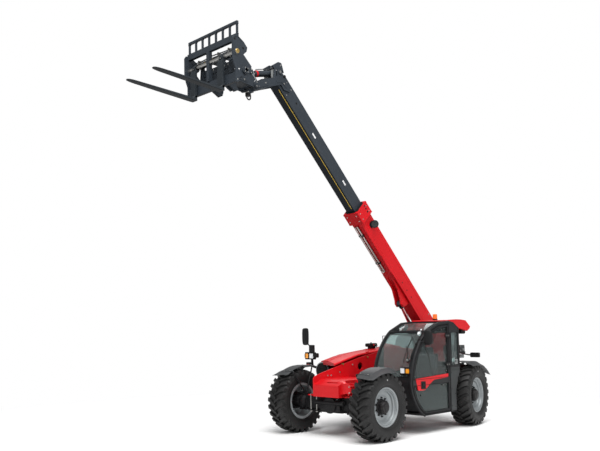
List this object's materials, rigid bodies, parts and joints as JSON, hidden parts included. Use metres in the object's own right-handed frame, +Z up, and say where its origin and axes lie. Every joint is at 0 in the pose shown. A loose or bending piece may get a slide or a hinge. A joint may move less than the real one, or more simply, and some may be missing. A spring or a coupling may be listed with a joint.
{
  "type": "telehandler",
  "caption": "Four-wheel-steer telehandler with side cab, side engine bay, telescopic boom and pallet forks on a tilting carriage.",
  "frame": {"origin": "on the ground, under the middle of the overall length and width", "axes": "+X forward along the machine, +Y to its left (cab side), +Z up"},
  "size_m": [7.775, 2.72, 6.64],
  "materials": {
    "red_paint": "semi-gloss",
    "boom_steel": "semi-gloss",
    "fork_steel": "satin",
    "axle_black": "satin",
    "fender_plastic": "satin",
    "tyre": "matte",
    "rim_silver": "satin",
    "cab_black": "satin",
    "cab_glass": "gloss",
    "black_plastic": "matte",
    "seat_fabric": "matte",
    "beacon_amber": "gloss",
    "cylinder_paint": "satin",
    "chrome_rod": "polished",
    "pipe_steel": "satin"
  },
  "bodies": {
    "chassis": {"main_frame": "red_paint", "front_axle": "axle_black", "rear_axle": "axle_black", "drive_shafts": "axle_black", "engine_bay": "cab_black", "engine": "axle_black", "counterweight": "axle_black", "cab_shell": "cab_black", "cab_glass": "cab_glass", "cab_roof": "red_paint", "beacon": "beacon_amber", "dashboard": "black_plastic", "steering_column": "black_plastic", "seat": "seat_fabric", "front_lamps_left": "black_plastic", "front_lamps_right": "black_plastic", "mirror_right": "black_plastic", "mirror_left": "black_plastic"},
    "boom": {"outer_boom": "red_paint", "boom_pipes": "pipe_steel"},
    "boom_extension": {"inner_boom": "boom_steel", "boom_head": "boom_steel"},
    "carriage": {"quick_hitch": "boom_steel", "carriage": "boom_steel", "fork_shaft": "chrome_rod", "fork_left": "fork_steel", "fork_right": "fork_steel"},
    "lift_cylinder_barrel": {"lift_barrel": "cylinder_paint"},
    "lift_cylinder_rod": {"lift_rod": "chrome_rod"},
    "tilt_cylinder_barrel": {"tilt_barrel": "cylinder_paint"},
    "tilt_cylinder_rod": {"tilt_rod": "chrome_rod"},
    "cab_door": {"cab_door": "cab_black", "door_glass": "cab_glass"},
    "engine_hood": {"hood": "red_paint"},
    "front_left_knuckle": {"front_left_knuckle": "axle_black", "front_left_fender": "fender_plastic"},
    "front_left_wheel": {"front_left_tyre": "tyre", "front_left_rim": "rim_silver"},
    "front_right_knuckle": {"front_right_knuckle": "axle_black", "front_right_fender": "fender_plastic"},
    "front_right_wheel": {"front_right_tyre": "tyre", "front_right_rim": "rim_silver"},
    "rear_left_knuckle": {"rear_left_knuckle": "axle_black", "rear_left_fender": "fender_plastic"},
    "rear_left_wheel": {"rear_left_tyre": "tyre", "rear_left_rim": "rim_silver"},
    "rear_right_knuckle": {"rear_right_knuckle": "axle_black", "rear_right_fender": "fender_plastic"},
    "rear_right_wheel": {"rear_right_tyre": "tyre", "rear_right_rim": "rim_silver"}
  },
  "joints": [
    {"name": "boom_lift", "type": "hinge", "parent": "chassis", "child": "boom", "pos_m": [-3.3875, 0, 1.67], "axis": [0, -1, 0], "range_deg": [-51, 18]},
    {"name": "boom_extend", "type": "slide", "parent": "boom", "child": "boom_extension", "axis": [0.7071, 0, 0.7071], "range_m": [-2.5, 0]},
    {"name": "carriage_tilt", "type": "hinge", "parent": "boom_extension", "child": "carriage", "pos_m": [1.7625, 0, 5.925], "axis": [0, 1, 0], "range_deg": [-57, 60]},
    {"name": "lift_barrel_swing", "type": "hinge", "parent": "chassis", "child": "lift_cylinder_barrel", "pos_m": [-3.2875, 0, 1.02], "axis": [0, -1, 0], "range_deg": [-41.8, 15.4]},
    {"name": "lift_rod_slide", "type": "slide", "parent": "lift_cylinder_barrel", "child": "lift_cylinder_rod", "axis": [0.6083, 0, 0.7937], "range_m": [-0.5035, 0.1809]},
    {"name": "tilt_barrel_swing", "type": "hinge", "parent": "boom_extension", "child": "tilt_cylinder_barrel", "pos_m": [1.1625, 0, 6.285], "axis": [0, 1, 0], "range_deg": [-4.99, 5.2]},
    {"name": "tilt_rod_slide", "type": "slide", "parent": "tilt_cylinder_barrel", "child": "tilt_cylinder_rod", "axis": [0.9732, 0, -0.2298], "range_m": [-0.194, 0.204]},
    {"name": "front_steer", "type": "hinge", "parent": "chassis", "child": "front_left_knuckle", "pos_m": [-0.2125, 0.795, 0], "axis": [0, 0, 1], "range_deg": [-35, 35]},
    {"name": "front_left_roll", "type": "hinge", "parent": "front_left_knuckle", "child": "front_left_wheel", "pos_m": [-0.2125, 0.965, 0.583], "axis": [0, 1, 0], "continuous": true},
    {"name": "front_steer_right", "type": "hinge", "parent": "chassis", "child": "front_right_knuckle", "pos_m": [-0.2125, -0.795, 0], "axis": [0, 0, 1], "range_deg": [-35, 35]},
    {"name": "front_right_roll", "type": "hinge", "parent": "front_right_knuckle", "child": "front_right_wheel", "pos_m": [-0.2125, -0.965, 0.583], "axis": [0, 1, 0], "continuous": true},
    {"name": "rear_steer", "type": "hinge", "parent": "chassis", "child": "rear_left_knuckle", "pos_m": [-3.0625, 0.795, 0], "axis": [0, 0, 1], "range_deg": [-44.25, 25.75]},
    {"name": "rear_left_roll", "type": "hinge", "parent": "rear_left_knuckle", "child": "rear_left_wheel", "pos_m": [-3.08983, 0.96279, 0.583], "axis": [-0.1607, 0.987, 0], "continuous": true},
    {"name": "rear_steer_right", "type": "hinge", "parent": "chassis", "child": "rear_right_knuckle", "pos_m": [-3.0625, -0.795, 0], "axis": [0, 0, 1], "range_deg": [-44.25, 25.75]},
    {"name": "rear_right_roll", "type": "hinge", "parent": "rear_right_knuckle", "child": "rear_right_wheel", "pos_m": [-3.03517, -0.96279, 0.583], "axis": [-0.1607, 0.987, 0], "continuous": true},
    {"name": "cab_door_hinge", "type": "hinge", "parent": "chassis", "child": "cab_door", "pos_m": [-2.2375, 1.112, 1.15], "axis": [0, 0, 1], "range_deg": [0, 85]},
    {"name": "engine_hood_hinge", "type": "hinge", "parent": "chassis", "child": "engine_hood", "pos_m": [-2.5875, -0.325, 1.53275], "axis": [-0.9964, 0, 0.0847], "range_deg": [0, 50]}
  ],
  "couplings": [
    {"joint": "lift_barrel_swing", "follows": "boom_lift", "ratio": 0.8},
    {"joint": "lift_rod_slide", "follows": "boom_lift", "m_per_rad": 0.56},
    {"joint": "tilt_barrel_swing", "follows": "carriage_tilt", "ratio": 0.07},
    {"joint": "tilt_rod_slide", "follows": "carriage_tilt", "m_per_rad": 0.19},
    {"joint": "front_steer_right", "follows": "front_steer", "ratio": 1},
    {"joint": "rear_steer_right", "follows": "rear_steer", "ratio": 1}
  ]
}
